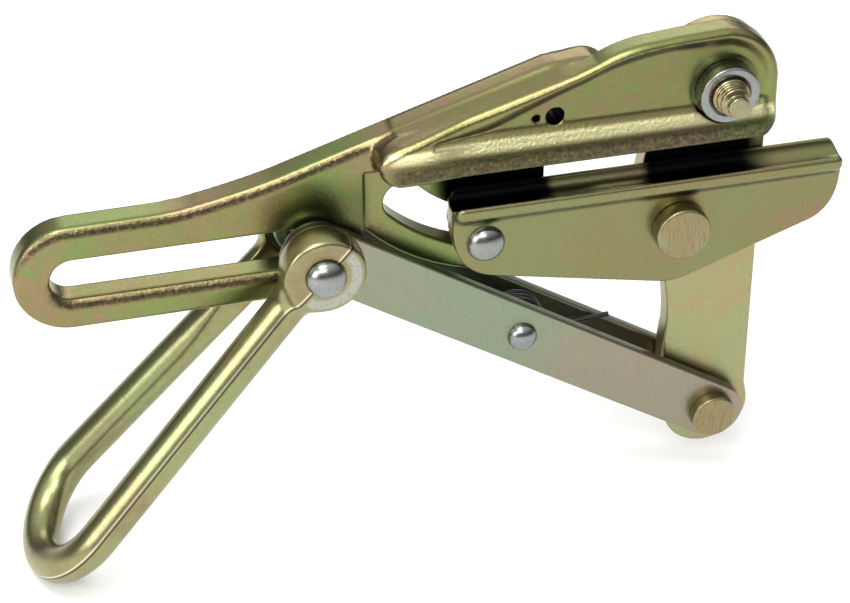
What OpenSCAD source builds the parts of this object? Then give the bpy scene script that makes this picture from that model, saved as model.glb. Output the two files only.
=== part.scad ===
// Parallel-jaw wire rope grip: a forged body with the upper jaw and a slotted tail,
// a lower jaw carried on a lever, two link bars and a pull bail that slides in the tail.
// Frame: X along the rope from tail to nose, Y away from the viewer, Z up.
// The origin is on the rope seat's axis, at the middle of the upper jaw.  Millimetres.

/* [Rope seat] */
// Diameter of the wire rope that the half-round seats hold
rope_d = 9.5; // [8:0.5:10]
// Play between the rope and the seat, on the radius
seat_play = 0.05; // [0.02:0.01:0.15]
// Length of the upper jaw from its left nose to the corner below the pivot
upper_jaw_len = 127; // [115:1:140]
// Open distance from the upper seat's axis to the lower jaw's top
jaw_open = 11; // [10:0.5:13]

/* [Body] */
// Thickness of the slotted tail
tail_t = 10; // [9:0.5:10.5]
// Height of the tail at its round end
tail_h = 37.1; // [34:0.2:40]
// Width of the long slot in the tail
slot_w = 15.4; // [15:0.1:17]
// How much thinner the web is than the tail, on its front side
web_step = 1.5; // [1:0.25:2]
// Width of the curved guide slot in the web
guide_w = 13.4; // [12.5:0.1:14]
// Distance the round upper jaw stands forward of the rope axis
bulge_front = 6; // [5.6:0.1:7]
// Depth of the three-sided recess below the front rim
recess_depth = 4.7; // [3:0.1:5]

/* [Lever and links] */
// Thickness of the lever
lever_t = 8; // [7:0.5:8.5]
// Distance from the lever pivot to the jaw pin
crank = 52.6; // [50:0.1:54]
// Angle of the jaw pin from straight below the pivot, jaws open
crank_open = 14; // [12:0.5:16]
// Thickness of each link bar
bar_t = 4.3; // [4:0.1:5]
// Width of each link bar
bar_w = 21.2; // [20:0.2:23]
// Clear gap between the two link bars
bar_gap = 12; // [11.5:0.1:12.5]

/* [Bail] */
// Diameter of the bail's round rod
rod_d = 12.8; // [12:0.1:13]
// Reach of the bail from its pin to the rod's centre line at the far end
bail_reach = 145; // [135:1:155]
// Angle of the bail below the tail, at rest
bail_drop = 48.3; // [40:0.1:60]
// Width of each bail eye along its pin
eye_w = 11; // [10:0.2:12]
// Diameter of each bail eye at its faces
eye_d = 26; // [24:0.2:28]

/* [Pins] */
// Shank diameter of the lever's lockbolt
bolt_d = 12.5; // [11:0.5:13]
// Outer diameter of the lockbolt's collar
collar_d = 19.9; // [18:0.1:21]
// Head diameter of the jaw pin
jaw_head_d = 18.9; // [17:0.1:20]
// Shank diameter of the jaw pin
jaw_pin_d = 12; // [10:0.5:13]
// Head diameter of the link pin
link_head_d = 15.8; // [15:0.1:17]
// Shank diameter of the link pin
link_pin_d = 10; // [9:0.5:11]
// Shank diameter of the bail pin, which slides in the tail slot
bail_pin_d = 11.2; // [10.6:0.1:11.6]
// Radial running clearance of every turning pin
run = 0.05; // [0.02:0.01:0.08]

/* [Hidden] */
$fn = 64;

seat_r = rope_d / 2 + seat_play;
side_gap = 0.4;

// depth layers along Y
plate_back = seat_r + 1.2;
mid_y = plate_back + side_gap + lever_t / 2;
lever_y0 = mid_y - lever_t / 2;
lever_y1 = mid_y + lever_t / 2;
tail_y0 = mid_y - 4.5;
tail_y1 = tail_y0 + tail_t;
web_y0 = tail_y0 + web_step;
rim_y = -bulge_front;
recess_y = rim_y + recess_depth;
jaw_face_y = rim_y + 4.2;
bar_in = bar_gap / 2;
bar_out = bar_in + bar_t;
eye_in = bar_out + 1.9;
bail_shift = -0.9;
eye_out = eye_in + eye_w;

// pin positions in the XZ plane
jaw_x0 = -upper_jaw_len / 2;
jaw_x1 = upper_jaw_len / 2;
pivot = [48.9, 19.5];
jaw_pin_at = pivot + crank * [-sin(crank_open), -cos(crank_open)];
guide_pin_at = [-30.2, jaw_pin_at[1] + 4.1];
guide_centre = guide_pin_at + pivot - jaw_pin_at;
link_pin_at = [53.1, -112.3];
bail_pin_at = [-86, -24];
spacer_at = (link_pin_at + bail_pin_at) / 2;
link_run = link_pin_at - bail_pin_at;
link_len = norm(link_run);
link_drop = atan2(-link_run[1], link_run[0]);

// tail slot
slot_x0 = -163.4;
slot_x1 = bail_pin_at[0] + 0.6;
slot_z = bail_pin_at[1] - 1.1;
tail_end = [-164.2, slot_z + 0.72];
tail_r = tail_h / 2;
heel_r = 17.8;
heel_at = [slot_x1 - 1.2, slot_z];

// guide slot and web
guide_half = guide_w / 2;
guide_play = 0.3;
guide_low = crank_open - 2.4;
guide_high = 46;
web_r = 68.3;
web_x1 = -8;

// ridge behind the upper jaw
peak = [-8, 30.45];
ridge_slope = 17.8;
ridge_x0 = -112;
ridge_z0 = peak[1] - (peak[0] - ridge_x0) * tan(ridge_slope);

steel = [0.62, 0.62, 0.36];
steel_2 = [0.60, 0.60, 0.42];
steel_3 = [0.66, 0.60, 0.38];
bright = [0.80, 0.80, 0.80];
bronze = [0.70, 0.52, 0.28];
spring_grey = [0.30, 0.31, 0.32];

// points along a circular arc, and along a curve bent towards one control point
function arc(c, r, a0, a1, n = 24) =
    [for (i = [0:n]) c + r * [cos(a0 + (a1 - a0) * i / n), sin(a0 + (a1 - a0) * i / n)]];
function bend(a, b, c, n = 16) =
    [for (i = [0:n]) let (t = i / n) (1 - t) * (1 - t) * a + 2 * t * (1 - t) * b + t * t * c];

// an XZ outline made solid between two depths
module slab(y0, y1) {
    translate([0, y1, 0]) rotate([90, 0, 0]) linear_extrude(height = y1 - y0) children();
}

// a YZ outline made solid between two stations along X
module bar_x(x0, x1, pts) {
    translate([x0, 0, 0]) rotate([90, 0, 90]) linear_extrude(height = x1 - x0) polygon(pts);
}

// a round shaft along Y
module shaft(at, r, y0, y1) {
    translate([at[0], y1, at[1]]) rotate([90, 0, 0]) cylinder(r = r, h = y1 - y0);
}

// a turned shape along Y: pts are [radius, depth]
module turned(at, pts) {
    translate([at[0], 0, at[1]]) rotate([-90, 0, 0]) rotate_extrude() polygon(pts);
}

// a domed rivet head whose flat side is at y, bulging towards dir
function dome(r, h, y, dir, n = 12) =
    concat([[0, y]],
           [for (i = [0:n]) let (a = 90 * i / n) [r * cos(a), y + dir * h * sin(a)]]);

module domed_rivet(at, r, y0, y1, head_r, head_h) {
    union() {
        shaft(at, r, y0 - 0.5, y1 + 0.5);
        turned(at, dome(head_r, head_h, y0, -1));
        turned(at, dome(head_r, head_h, y1, 1));
    }
}

// ---- body -------------------------------------------------------------

function tail_outline() = concat(
    arc(tail_end, tail_r, 90, 270, 36),
    arc(heel_at, heel_r, 270, 360, 18),
    [[heel_at[0] + heel_r, 0.4], [12, 0.4], [12, 27], [11.6, 28.7]],
    [[10.4, 29.9], [8, 31.2], [5, 31.9], [2, 31.6], [-3, 31], peak],
    bend([ridge_x0 + 14, ridge_z0 + 14 * tan(ridge_slope)], [ridge_x0 + 2, ridge_z0 + 1.2],
         [ridge_x0 - 10, ridge_z0 - 0.9], 6),
    bend([ridge_x0 - 12, ridge_z0 - 1.3], [ridge_x0 - 18, ridge_z0 - 2.4],
         [ridge_x0 - 26, ridge_z0 - 2.6], 6));

function web_outline() = concat(
    [[heel_at[0] + heel_r - 2, 1], [heel_at[0] + heel_r - 2, slot_z + 2]],
    arc(guide_centre, web_r, 221.5, 276, 40),
    [[web_x1 - 3, guide_centre[1] - web_r + 6], [web_x1, guide_centre[1] - web_r + 12], [web_x1, 1]]);

function guide_outline() = concat(
    arc(guide_centre, crank + guide_half, 270 - guide_high, 270 - guide_low, 48),
    arc(guide_centre + crank * [-sin(guide_low), -cos(guide_low)], guide_half,
        270 - guide_low, 450 - guide_low, 16),
    arc(guide_centre, crank - guide_half, 270 - guide_low, 270 - guide_high, 48),
    arc(guide_centre + crank * [-sin(guide_high), -cos(guide_high)], guide_half,
        90 - guide_high, 270 - guide_high, 16));

// outline of the front plate: upper jaw along the bottom, round nose at the pivot
nose_r = 20.5;
nose_at = [46.8, 20.2];
foot_r = 5.5;
foot_x = 67.4;
function plate_outline() = concat(
    arc([jaw_x0 + 3, 5], 5, 180, 270, 10),
    arc([foot_x - foot_r, foot_r], foot_r, 270, 360, 12),
    arc(nose_at, nose_r, 0, 84, 20),
    [[33.5, 39.8]],
    bend([25, 39], [14, 38.4], [6, 33.6], 10),
    [[-1, 30.9], [-8, 28.8]],
    bend([-58, 14], [-68, 11], [jaw_x0 - 2, 5], 6));

function recess_outline() = concat(
    [[-48, 12.9]],
    bend([-47, 13.6], [-34, 14.6], [-24.4, 18.9], 8),
    [[-8, 25.8]],
    bend([2, 29.6], [14, 35.6], [31, 36.9], 10),
    arc(nose_at, nose_r - 3.4, 84, 0, 20),
    arc([nose_at[0] + nose_r - 7.6, 16.4], 4.2, 0, -90, 8));

module grip_body() color(steel) {
    difference() {
        union() {
            slab(tail_y0, tail_y1) polygon(tail_outline());
            slab(web_y0, tail_y1) polygon(web_outline());
            slab(recess_y + 0.01, plate_back) polygon(plate_outline());
            difference() {
                slab(rim_y + 3.2, recess_y + 1) polygon(plate_outline());
                slab(rim_y - 1, recess_y) polygon(recess_outline());
            }
            // the upper jaw's round forward bulge
            bar_x(jaw_x0 + 4, foot_x - 2, concat(
                [[1, 13], [1, 0]], [[rim_y + 2.6, 0]],
                arc([rim_y + 3.4, 3.6], 3.4, 250, 180, 8),
                arc([rim_y + 5.2, 7.6], 5.2, 180, 80, 12)));
        }
        // rope seat
        translate([jaw_x0 - 20, 0, 0]) rotate([0, 90, 0]) cylinder(r = seat_r, h = upper_jaw_len + 60);
        // rope leaves the seat in front of the tail
        translate([jaw_x0 - 22, -20, -14]) cube([18, 20 + tail_y0 - 0.2, 14.4]);
        // pivot, tail slot, guide slot
        shaft(pivot, bolt_d / 2, rim_y - 5, plate_back + 5);
        translate([slot_x0, tail_y0 - 5, slot_z - slot_w / 2]) cube([slot_x1 - slot_x0, tail_t + 10, slot_w]);
        shaft([slot_x0, slot_z], slot_w / 2, tail_y0 - 5, tail_y1 + 5);
        shaft([slot_x1, slot_z], slot_w / 2, tail_y0 - 5, tail_y1 + 5);
        slab(tail_y0 - 5, tail_y1 + 5) polygon(guide_outline());
        // tether hole right through, and a blind locating dimple beside it
        shaft([-7.8, 16.9], 3, rim_y - 5, tail_y1 + 5);
        shaft([-14.1, 16.9], 1.2, rim_y - 5, recess_y + 3);
    }
}

// ---- lever pivot ------------------------------------------------------

collar_len = 6.3;
module lockbolt_pin() color(steel_3) {
    turned(pivot, concat(
        [[0, lever_y1 + 6.6]],
        arc([6.4, lever_y1 + 4.2], 2.4, 90, 20, 6),
        [[9.4, lever_y1 + 1.9], [bolt_d / 2, lever_y1 + 1.9]],
        [[bolt_d / 2, recess_y - collar_len - 0.6], [5.3, recess_y - collar_len - 1.2]],
        [[4.3, recess_y - collar_len - 2.4], [5.0, recess_y - collar_len - 3.4]],
        [[5.0, recess_y - collar_len - 4.8], [3.2, recess_y - collar_len - 5.6]],
        [[3.2, recess_y - collar_len - 6.6], [3.6, recess_y - collar_len - 7.2]],
        [[3.6, recess_y - 14.7], [0, recess_y - 14.7]]));
}

module lockbolt_collar() color(bright) {
    turned(pivot, concat(
        [[bolt_d / 2, recess_y], [collar_d / 2, recess_y]],
        [[collar_d / 2, recess_y - collar_len + 1.6]],
        arc([collar_d / 2 - 1.6, recess_y - collar_len + 1.6], 1.6, 0, -90, 6),
        [[bolt_d / 2 + 0.6, recess_y - collar_len], [bolt_d / 2, recess_y - collar_len + 0.6]]));
}

module pivot_washer() color(steel_2) difference() {
    shaft(pivot, 11.5, lever_y1 + 0.3, lever_y1 + 1.9);
    shaft(pivot, bolt_d / 2, lever_y1 - 1, lever_y1 + 3);
}

module pivot_bush() color(bronze) difference() {
    shaft(pivot, bolt_d / 2 + 1.5, lever_y0, lever_y1);
    shaft(pivot, bolt_d / 2 + run, lever_y0 - 1, lever_y1 + 1);
}

// ---- lever ------------------------------------------------------------

lobe_at = link_pin_at + [0.4, -2.2];
lobe_r = 15.2;
top_r = 18.1;
jaw_lobe_r = 14;
waist = [37.2, -74];
lever_x1 = 67.4;
function lever_outline() = concat(
    arc(pivot, top_r, 0, 170, 40),
    arc(jaw_pin_at, jaw_lobe_r, 166, 214, 12),
    bend(jaw_pin_at + jaw_lobe_r * [cos(216), sin(216)], [36.6, -50], waist, 12),
    bend(waist + [0, -4], [34.6, -94], lobe_at + lobe_r * [cos(164), sin(164)], 10),
    arc(lobe_at, lobe_r, 168, 368, 36),
    [[lever_x1, lobe_at[1] + 8], [lever_x1, pivot[1] - 20]]);

module lever_arm() color(steel_2) difference() {
    slab(lever_y0, lever_y1) polygon(lever_outline());
    shaft(pivot, bolt_d / 2 + 1.5, lever_y0 - 1, lever_y1 + 1);
    shaft(jaw_pin_at, jaw_pin_d / 2, lever_y0 - 1, lever_y1 + 1);
    shaft(link_pin_at, link_pin_d / 2 + 1.5, lever_y0 - 1, lever_y1 + 1);
}

module link_bush() color(bronze) difference() {
    shaft(link_pin_at, link_pin_d / 2 + 1.5, lever_y0, lever_y1);
    shaft(link_pin_at, link_pin_d / 2 + run, lever_y0 - 1, lever_y1 + 1);
}

jaw_head_h = 5.7;
module jaw_pin() color(steel_3) {
    turned(jaw_pin_at, concat(
        [[0, jaw_face_y - 0.2 - jaw_head_h]],
        arc([jaw_head_d / 2 - 0.9, jaw_face_y - 0.2 - jaw_head_h + 0.9], 0.9, -90, 0, 4),
        [[jaw_head_d / 2, jaw_face_y - 0.2], [jaw_pin_d / 2, jaw_face_y - 0.2]],
        [[jaw_pin_d / 2, lever_y1 + 1.6], [jaw_pin_d / 2 + 2.2, lever_y1 + 1.6]],
        [[jaw_pin_d / 2 + 1.2, lever_y1 + 4], [0, lever_y1 + 4.6]]));
}

module jaw_pin_washer() color(steel_2) difference() {
    shaft(jaw_pin_at, 10, lever_y1, lever_y1 + 1.6);
    shaft(jaw_pin_at, jaw_pin_d / 2, lever_y1 - 1, lever_y1 + 3);
}

// ---- lower jaw --------------------------------------------------------

jaw_left = -41.2;
jaw_right = 92.1;
jaw_top = -jaw_open - 0.4;
jaw_back_top = -jaw_open + 1.5;
jaw_seat_z = -jaw_open + 2.1;
function jaw_outline() = concat(
    [[jaw_left, jaw_top - 1]],
    [[jaw_left, -23.5]],
    bend([jaw_left + 0.3, -25], [jaw_left + 2, -38.4], [-27, -40.9], 12),
    arc([33.5, -32], 21.1, 257.7, 290, 12),
    bend([83, -36.4], [91.5, -32.5], [jaw_right, -20], 12),
    [[jaw_right, jaw_top - 2.6], [jaw_right - 1, jaw_top - 1]]);

module lower_jaw() color(steel) difference() {
    union() {
        slab(jaw_face_y, plate_back) polygon(jaw_outline());
        // grooved top with the forward lip
        bar_x(jaw_left, jaw_right - 1, [
            [plate_back, jaw_back_top], [rim_y + 1, jaw_top], [rim_y + 0.2, jaw_top - 0.8],
            [rim_y + 0.2, jaw_top - 3.8], [rim_y + 1.2, jaw_top - 5], [jaw_face_y, jaw_top - 7.5],
            [jaw_face_y + 1, jaw_top - 8], [plate_back, jaw_top - 8]]);
    }
    translate([jaw_left - 5, 0, jaw_seat_z]) rotate([0, 90, 0]) cylinder(r = seat_r, h = 150);
    // rounded upper corners of the lip
    translate([jaw_left - 0.1, rim_y - 1, jaw_top - 1.6]) rotate([0, -45, 0]) cube([4, 30, 6]);
    shaft(jaw_pin_at, jaw_pin_d / 2 + run, jaw_face_y - 10, plate_back + 1);
    shaft(guide_pin_at, 4.5, jaw_face_y - 10, plate_back + 1);
}

module guide_rivet() color(bright) union() {
    shaft(guide_pin_at, 4.5, jaw_face_y - 0.5, tail_y1 + 2.2);
    turned(guide_pin_at, dome(6.4, 4.0, jaw_face_y, -1));
    turned(guide_pin_at, [[0, tail_y1 + 2.0], [6.6, tail_y1 + 2.0], [6.2, tail_y1 + 4.6],
                          [4.6, tail_y1 + 5.6], [0, tail_y1 + 5.8]]);
}

module guide_bush() color(steel_2) difference() {
    shaft(guide_pin_at, guide_half - guide_play, plate_back, tail_y1 + 0.4);
    shaft(guide_pin_at, 4.5, plate_back - 1, tail_y1 + 1);
}

module guide_washer() color(steel_3) difference() {
    shaft(guide_pin_at, 8.2, tail_y1 + 0.4, tail_y1 + 2.0);
    shaft(guide_pin_at, 4.5, tail_y1 - 1, tail_y1 + 3);
}

// ---- links ------------------------------------------------------------

bar_end = link_pin_at + 1.4 * [cos(link_drop), -sin(link_drop)];
function bar_outline() = concat(
    arc(bail_pin_at, bar_w / 2, 90 - link_drop, 270 - link_drop, 36),
    arc(bar_end, bar_w / 2, -90 - link_drop, 90 - link_drop, 36));

module link_bar(y0, y1) {
    difference() {
        slab(y0, y1) polygon(bar_outline());
        shaft(bail_pin_at, bail_pin_d / 2, y0 - 1, y1 + 1);
        shaft(link_pin_at, link_pin_d / 2, y0 - 1, y1 + 1);
        shaft(spacer_at, 3.5, y0 - 1, y1 + 1);
    }
}

module front_link_bar() color(steel_2) link_bar(mid_y - bar_out, mid_y - bar_in);
module rear_link_bar() color(steel_2) link_bar(mid_y + bar_in, mid_y + bar_out);

link_head_h = 4.4;
module link_pin() color(steel_3) {
    turned(link_pin_at, concat(
        [[0, mid_y - bar_out - link_head_h]],
        arc([link_head_d / 2 - 0.8, mid_y - bar_out - link_head_h + 0.8], 0.8, -90, 0, 4),
        [[link_head_d / 2, mid_y - bar_out], [link_pin_d / 2, mid_y - bar_out]],
        [[link_pin_d / 2, mid_y + bar_out], [link_pin_d / 2 + 2, mid_y + bar_out]],
        [[link_pin_d / 2 + 1.2, mid_y + bar_out + 2.4], [0, mid_y + bar_out + 3]]));
}

module lever_spacer(y0, y1) {
    difference() {
        shaft(link_pin_at, 9.5, y0, y1);
        shaft(link_pin_at, link_pin_d / 2, y0 - 1, y1 + 1);
    }
}

module front_lever_spacer() color(bronze) lever_spacer(mid_y - bar_in, lever_y0 - 0.3);
module rear_lever_spacer() color(bronze) lever_spacer(lever_y1 + 0.3, mid_y + bar_in);

module spacer_rivet() color(bright)
    domed_rivet(spacer_at, 3.5, mid_y - bar_out, mid_y + bar_out, 5.05, 3.6);

module spacer_sleeve() color(steel_2) difference() {
    shaft(spacer_at, 5, mid_y - bar_in, mid_y + bar_in);
    shaft(spacer_at, 3.5, mid_y - bar_in - 1, mid_y + bar_in + 1);
}

// torsion spring round the sleeve, one leg up to the web, one along the bars
wire_r = 0.9;
coil_r = 9.3;
coil_turns = 3;
coil_pitch = 2.3;
coil_y0 = mid_y - coil_turns * coil_pitch / 2;
coil_a0 = 204;
coil_a1 = coil_a0 + 360 * coil_turns + 71;
leg_up = spacer_at + [-19.5, 20.5];
leg_on = spacer_at + [35, -6.7];
function coil_at(a) = [spacer_at[0] + coil_r * cos(a),
                       coil_y0 + coil_pitch * (a - coil_a0) / 360,
                       spacer_at[1] + coil_r * sin(a)];
coil_path = concat(
    [[leg_up[0], coil_y0, leg_up[1]]],
    [for (i = [0:36]) coil_at(coil_a0 + (coil_a1 - coil_a0) * i / 36)],
    [[leg_on[0], coil_at(coil_a1)[1] + 0.3, leg_on[1]]]);

function unit(v) = v / norm(v);
function along(p, i) = let (n = len(p) - 1) unit(p[min(i + 1, n)] - p[max(i - 1, 0)]);
// a ring of points round the path at point i, squared to the path
function ring(p, i, r, n) = let (t = along(p, i), u = unit(cross(t, [0, 1, 0])), v = cross(t, u))
    [for (k = [0:n - 1]) p[i] + r * (cos(360 * k / n) * u + sin(360 * k / n) * v)];

module tube(p, r, n = 8) {
    m = len(p);
    pts = [for (i = [0:m - 1]) each ring(p, i, r, n)];
    sides = [for (i = [0:m - 2]) for (k = [0:n - 1])
        [i * n + k, (i + 1) * n + k, (i + 1) * n + (k + 1) % n, i * n + (k + 1) % n]];
    polyhedron(points = pts, faces = concat(
        [[for (k = [0:n - 1]) k]], sides, [[for (k = [n - 1:-1:0]) (m - 1) * n + k]]));
}

module torsion_spring() color(spring_grey) tube(coil_path, wire_r);

module bail_pin() color(bright)
    domed_rivet(bail_pin_at, bail_pin_d / 2, mid_y + bail_shift - eye_out - 0.3,
        mid_y + bail_shift + eye_out + 0.3, 6.7, 4.3);

washer_r = 12.5;
module bail_washer(y0, y1) {
    difference() {
        shaft(bail_pin_at, washer_r, y0, y1);
        shaft(bail_pin_at, bail_pin_d / 2, y0 - 1, y1 + 1);
    }
}

module front_bail_washer() color(steel_2)
    bail_washer(mid_y + bail_shift - eye_in + 0.4, mid_y - bar_out);
module rear_bail_washer() color(steel_2)
    bail_washer(mid_y + bar_out, mid_y + bail_shift + eye_in - 0.4);

// ---- bail -------------------------------------------------------------

leg_d = rod_d - 0.1;
leg_flare = 5.1;
bend_r = 23.6;
leg_low = 1.1;
bend_at = bail_reach - bend_r;
leg_len = (bend_at - bend_r * sin(leg_flare)) / cos(leg_flare);
leg_y = bend_r / cos(leg_flare) - bend_at * tan(leg_flare);
eye_bulge = 0.9;
eye_edge = 0.8;

// one eye, from its inner face to its outer face, s = -1 in front and 1 behind
module eye(s) {
    mid = (eye_in + eye_out) / 2;
    turned(bail_pin_at, [
        [0, s * eye_in], [eye_d / 2 - eye_edge, s * eye_in],
        [eye_d / 2, s * (eye_in + eye_edge)], [eye_d / 2 + eye_bulge, s * mid],
        [eye_d / 2, s * (eye_out - eye_edge)], [eye_d / 2 - eye_edge, s * eye_out], [0, s * eye_out]]);
}

module pull_bail() color(steel) translate([0, mid_y + bail_shift, 0]) difference() {
    union() {
        eye(-1);
        eye(1);
        translate([bail_pin_at[0], 0, bail_pin_at[1]]) rotate([0, 180 - bail_drop, 0])
            translate([0, 0, leg_low]) {
            for (s = [-1, 1])
                translate([0, s * leg_y, 0]) rotate([0, 0, s * leg_flare]) rotate([0, 90, 0])
                    translate([0, 0, 6]) cylinder(d = leg_d, h = leg_len - 6 + 1);
            translate([bend_at, 0, 0]) rotate([0, 0, -90 - leg_flare])
                rotate_extrude(angle = 180 + 2 * leg_flare) translate([bend_r, 0]) circle(d = rod_d);
        }
    }
    shaft(bail_pin_at, bail_pin_d / 2 + run, -eye_out - 2, eye_out + 2);
    // room for the washers between the eyes
    shaft(bail_pin_at, washer_r + 0.6, -eye_in, eye_in);
    // flats on the legs, so the bail swings past the link bars
    translate([bail_pin_at[0], -bail_shift, bail_pin_at[1]]) rotate([0, 180 - bail_drop, 0])
        translate([-20, -bar_out - 0.4, -20]) cube([80, 2 * bar_out + 0.8, 40]);
}

// ---- nodes ------------------------------------------------------------

grip_body();
lockbolt_pin();
lockbolt_collar();
pivot_washer();
lever_arm();
pivot_bush();
link_bush();
jaw_pin();
jaw_pin_washer();
lower_jaw();
guide_rivet();
guide_bush();
guide_washer();
front_link_bar();
rear_link_bar();
link_pin();
front_lever_spacer();
rear_lever_spacer();
spacer_rivet();
spacer_sleeve();
torsion_spring();
bail_pin();
front_bail_washer();
rear_bail_washer();
pull_bail();
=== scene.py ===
"""Looks of the wire rope grip: smooth forged meshes, turned pins and plated-steel materials
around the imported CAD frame.  Lengths are in millimetres until a mesh is made, except in the
last section, where the camera, floor and lights are in metres."""
import math
import bmesh
import bpy
import numpy as np
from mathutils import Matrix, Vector


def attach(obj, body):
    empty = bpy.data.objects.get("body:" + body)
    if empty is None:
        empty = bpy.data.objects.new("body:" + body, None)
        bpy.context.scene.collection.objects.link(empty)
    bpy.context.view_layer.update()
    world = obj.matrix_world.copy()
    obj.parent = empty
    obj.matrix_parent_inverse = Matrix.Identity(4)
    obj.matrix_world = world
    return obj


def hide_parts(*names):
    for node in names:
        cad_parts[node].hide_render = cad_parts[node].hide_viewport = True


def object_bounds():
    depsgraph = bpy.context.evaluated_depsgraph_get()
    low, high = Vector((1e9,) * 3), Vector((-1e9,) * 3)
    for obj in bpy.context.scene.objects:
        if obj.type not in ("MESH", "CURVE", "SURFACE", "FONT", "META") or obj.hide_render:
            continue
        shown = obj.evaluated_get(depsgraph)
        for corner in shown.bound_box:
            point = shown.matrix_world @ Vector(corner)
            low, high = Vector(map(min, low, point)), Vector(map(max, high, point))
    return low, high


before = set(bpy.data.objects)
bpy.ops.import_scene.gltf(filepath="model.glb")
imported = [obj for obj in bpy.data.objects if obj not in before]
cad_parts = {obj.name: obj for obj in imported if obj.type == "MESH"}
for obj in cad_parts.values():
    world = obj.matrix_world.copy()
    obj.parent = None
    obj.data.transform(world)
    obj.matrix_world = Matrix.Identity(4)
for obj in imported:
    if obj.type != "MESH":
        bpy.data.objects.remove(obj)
cad_low, cad_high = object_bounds()

MM = 0.001

# ---------------------------------------------------------------- dimensions, as in the CAD part
SEAT_R = 4.8
MID_Y = 10.4
LEVER_Y0, LEVER_Y1 = MID_Y - 4, MID_Y + 4
TAIL_Y0, TAIL_Y1 = MID_Y - 4.5, MID_Y + 5.5
WEB_Y0 = TAIL_Y0 + 1.5
PLATE_BACK = 6.0
RIM_Y = -6.0
RECESS_Y = -1.3
JAW_FACE_Y = -1.8
BAR_IN, BAR_OUT = 6.0, 10.3
PIVOT = np.array([48.9, 19.5])
CRANK = 52.6
CRANK_OPEN = math.radians(14)
JAW_PIN = PIVOT + CRANK * np.array([-math.sin(CRANK_OPEN), -math.cos(CRANK_OPEN)])
GUIDE_PIN = np.array([-30.2, JAW_PIN[1] + 4.1])
GUIDE_CENTRE = GUIDE_PIN + PIVOT - JAW_PIN
LINK_PIN = np.array([53.1, -112.3])
BAIL_PIN = np.array([-86.0, -24.0])
SPACER = (LINK_PIN + BAIL_PIN) / 2
LINK_RUN = LINK_PIN - BAIL_PIN
LINK_LEN = float(np.hypot(*LINK_RUN))
LINK_DROP = math.atan2(-LINK_RUN[1], LINK_RUN[0])
SLOT_X0, SLOT_X1 = -163.4, BAIL_PIN[0] + 0.6
SLOT_Z = BAIL_PIN[1] - 1.1
SLOT_HALF = 7.7
TAIL_END = np.array([-164.2, SLOT_Z + 0.72])
TAIL_R = 18.55
HEEL_R = 17.8
HEEL = (SLOT_X1 - 1.2, SLOT_Z)
GUIDE_HALF = 6.7
GUIDE_LOW = math.radians(11.6)
GUIDE_HIGH = math.radians(46)
WEB_R = 68.3
WEB_X1 = -8.0
PEAK = np.array([-8, 30.45])
RIDGE = math.tan(math.radians(17.8))
RIDGE_X0 = -112.0
RIDGE_Z0 = PEAK[1] - (PEAK[0] - RIDGE_X0) * RIDGE
NOSE = np.array([46.8, 20.2])
NOSE_R = 20.5
FOOT_R = 5.5
FOOT_X = 67.4
JAW_X0, JAW_X1 = -41.2, 92.1
JAW_TOP = -11.4
JAW_SEAT_Z = -8.9
ROD_R = 6.4
BAIL_DROP = math.radians(48.3)
BAIL_SHIFT = -0.9
EYE_IN, EYE_OUT, EYE_R = 12.2, 23.2, 13.0
LEG_FLARE = math.radians(5.1)
BEND_R = 23.6
BEND_AT = 145 - BEND_R
LEG_LOW = 1.1
WASHER_ROOM = 13.1
TETHER, TETHER_R = (-7.8, 16.9), 3.0
DIMPLE, DIMPLE_R, DIMPLE_DEPTH = (-14.1, 16.9), 1.2, 3
BULGE_X0, BULGE_X1 = -63.5, 66.2
PIVOT_HOLE_R, SPOT_FACE_R = 6.25, 11.2
SHANK_R, COLLAR_R, COLLAR_H = 6.24, 9.95, 6.3
PIVOT_BUSH_R, LINK_BUSH_R = 7.75, 6.5
JAW_PIN_R, LINK_PIN_R, BAIL_PIN_R = 6.0, 5.0, 5.6
GUIDE_RIVET_R, SPACER_RIVET_R = 4.5, 3.5
JAW_HEAD_R, JAW_HEAD_H = 9.45, 5.7
LINK_HEAD_R, LINK_HEAD_H = 7.9, 4.4
BAR_HALF = 10.6
RUN_FIT = 0.05  # between a pin and what turns on it
FIT = 0.3       # between parts that pass each other


# ---------------------------------------------------------------- outlines (x, z)
def arc(centre, radius, start, end, steps=24):
    t = np.radians(np.linspace(start, end, steps + 1))
    return np.asarray(centre)[None, :] + radius * np.stack([np.cos(t), np.sin(t)], 1)


def curve(a, b, c, steps=16):
    t = np.linspace(0, 1, steps + 1)[:, None]
    return (1 - t) ** 2 * np.array(a) + 2 * t * (1 - t) * np.array(b) + t * t * np.array(c)


def outline(*parts):
    return np.vstack([np.atleast_2d(np.asarray(p, float)) for p in parts])


TAIL = outline(
    arc(TAIL_END, TAIL_R, 90, 270, 48),
    arc(HEEL, HEEL_R, 270, 360, 18),
    [(HEEL[0] + HEEL_R, 0.4), (12, 0.4), (12, 27), (11.6, 28.7), (10.4, 29.9), (8, 31.2)],
    [(5, 31.9), (2, 31.6), (-3, 31), PEAK],
    curve((RIDGE_X0 + 14, RIDGE_Z0 + 14 * RIDGE), (RIDGE_X0 + 2, RIDGE_Z0 + 1.2),
          (RIDGE_X0 - 10, RIDGE_Z0 - 0.9), 8),
    curve((RIDGE_X0 - 12, RIDGE_Z0 - 1.3), (RIDGE_X0 - 18, RIDGE_Z0 - 2.4),
          (RIDGE_X0 - 26, RIDGE_Z0 - 2.6), 8))
WEB = outline(
    [(HEEL[0] + HEEL_R - 2, 1), (HEEL[0] + HEEL_R - 2, SLOT_Z + 2)],
    arc(GUIDE_CENTRE, WEB_R, 221.5, 276, 60),
    [(WEB_X1 - 3, GUIDE_CENTRE[1] - WEB_R + 6), (WEB_X1, GUIDE_CENTRE[1] - WEB_R + 12), (WEB_X1, 1)])
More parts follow.
